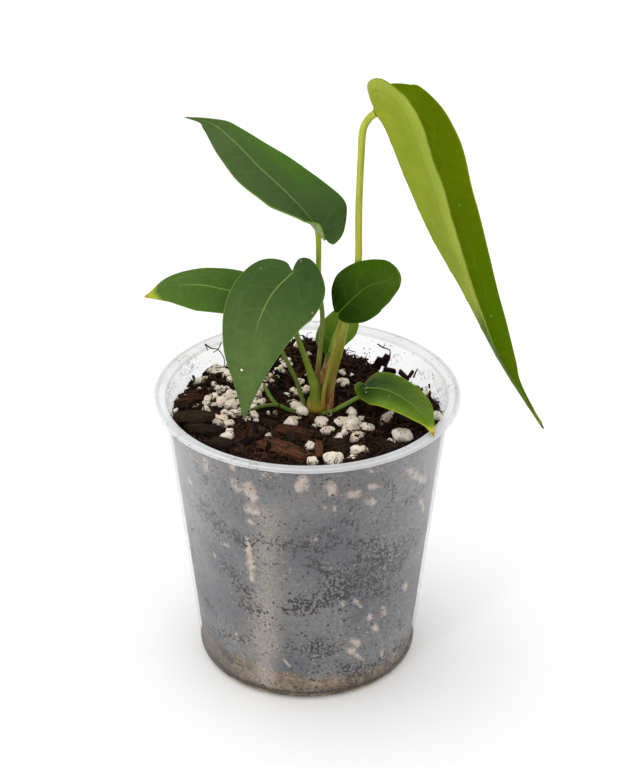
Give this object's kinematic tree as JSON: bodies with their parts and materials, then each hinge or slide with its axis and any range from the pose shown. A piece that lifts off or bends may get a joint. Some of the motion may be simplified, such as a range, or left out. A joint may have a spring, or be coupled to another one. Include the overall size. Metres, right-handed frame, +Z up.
{
  "type": "potted anthurium peltigerum",
  "caption": "Young aroid house plant with heart-shaped green leaves, one long and hanging, in a clear tapered plastic pot of bark and perlite mix.",
  "frame": {"origin": "centre of the pot's foot, on the surface that the pot stands on", "axes": "+Z up along the pot's axis, +X to the side that the long leaf hangs on, -Y to the front, where the heart-shaped leaf hangs"},
  "size_m": [0.1559, 0.12, 0.2482],
  "materials": {
    "pot_plastic": "clear, slightly milky, semi-gloss",
    "mix": "dark bark, fibre and fines, matt and damp",
    "perlite": "cream white, matt, pitted",
    "stem": "green to yellow, smooth",
    "leaf_dark": "dark green, satin, with a pale midrib",
    "leaf_dull": "dull green with a greyish sheen",
    "leaf_mid": "mid green, satin, with a yellow tip",
    "leaf_light": "olive green above, light yellow-green below",
    "stalk": "green, smooth",
    "stalk_yellow": "yellow-green, smooth, reddish at the foot",
    "sheath": "reddish brown, papery"
  },
  "bodies": {
    "root": {"pot": "pot_plastic", "mix": "mix", "perlite_left": "perlite", "perlite_front": "perlite", "perlite_rim": "perlite", "perlite_stem": "perlite", "perlite_back": "perlite", "perlite_right": "perlite", "stem": "stem", "leaf_upper_left": "leaf_dark", "stalk_upper_left": "stalk", "leaf_hanging_right": "leaf_light", "stalk_hanging_right": "stalk_yellow", "leaf_left": "leaf_mid", "stalk_left": "stalk", "leaf_front": "leaf_dull", "stalk_front": "stalk", "leaf_round_right": "leaf_dark", "stalk_round_right": "stalk", "leaf_small_back": "leaf_mid", "stalk_small_back": "stalk", "leaf_low_right": "leaf_mid", "stalk_low_right": "stalk", "sheath_tall": "sheath", "sheath_low": "sheath", "shoot": "stalk"}
  },
  "joints": []
}
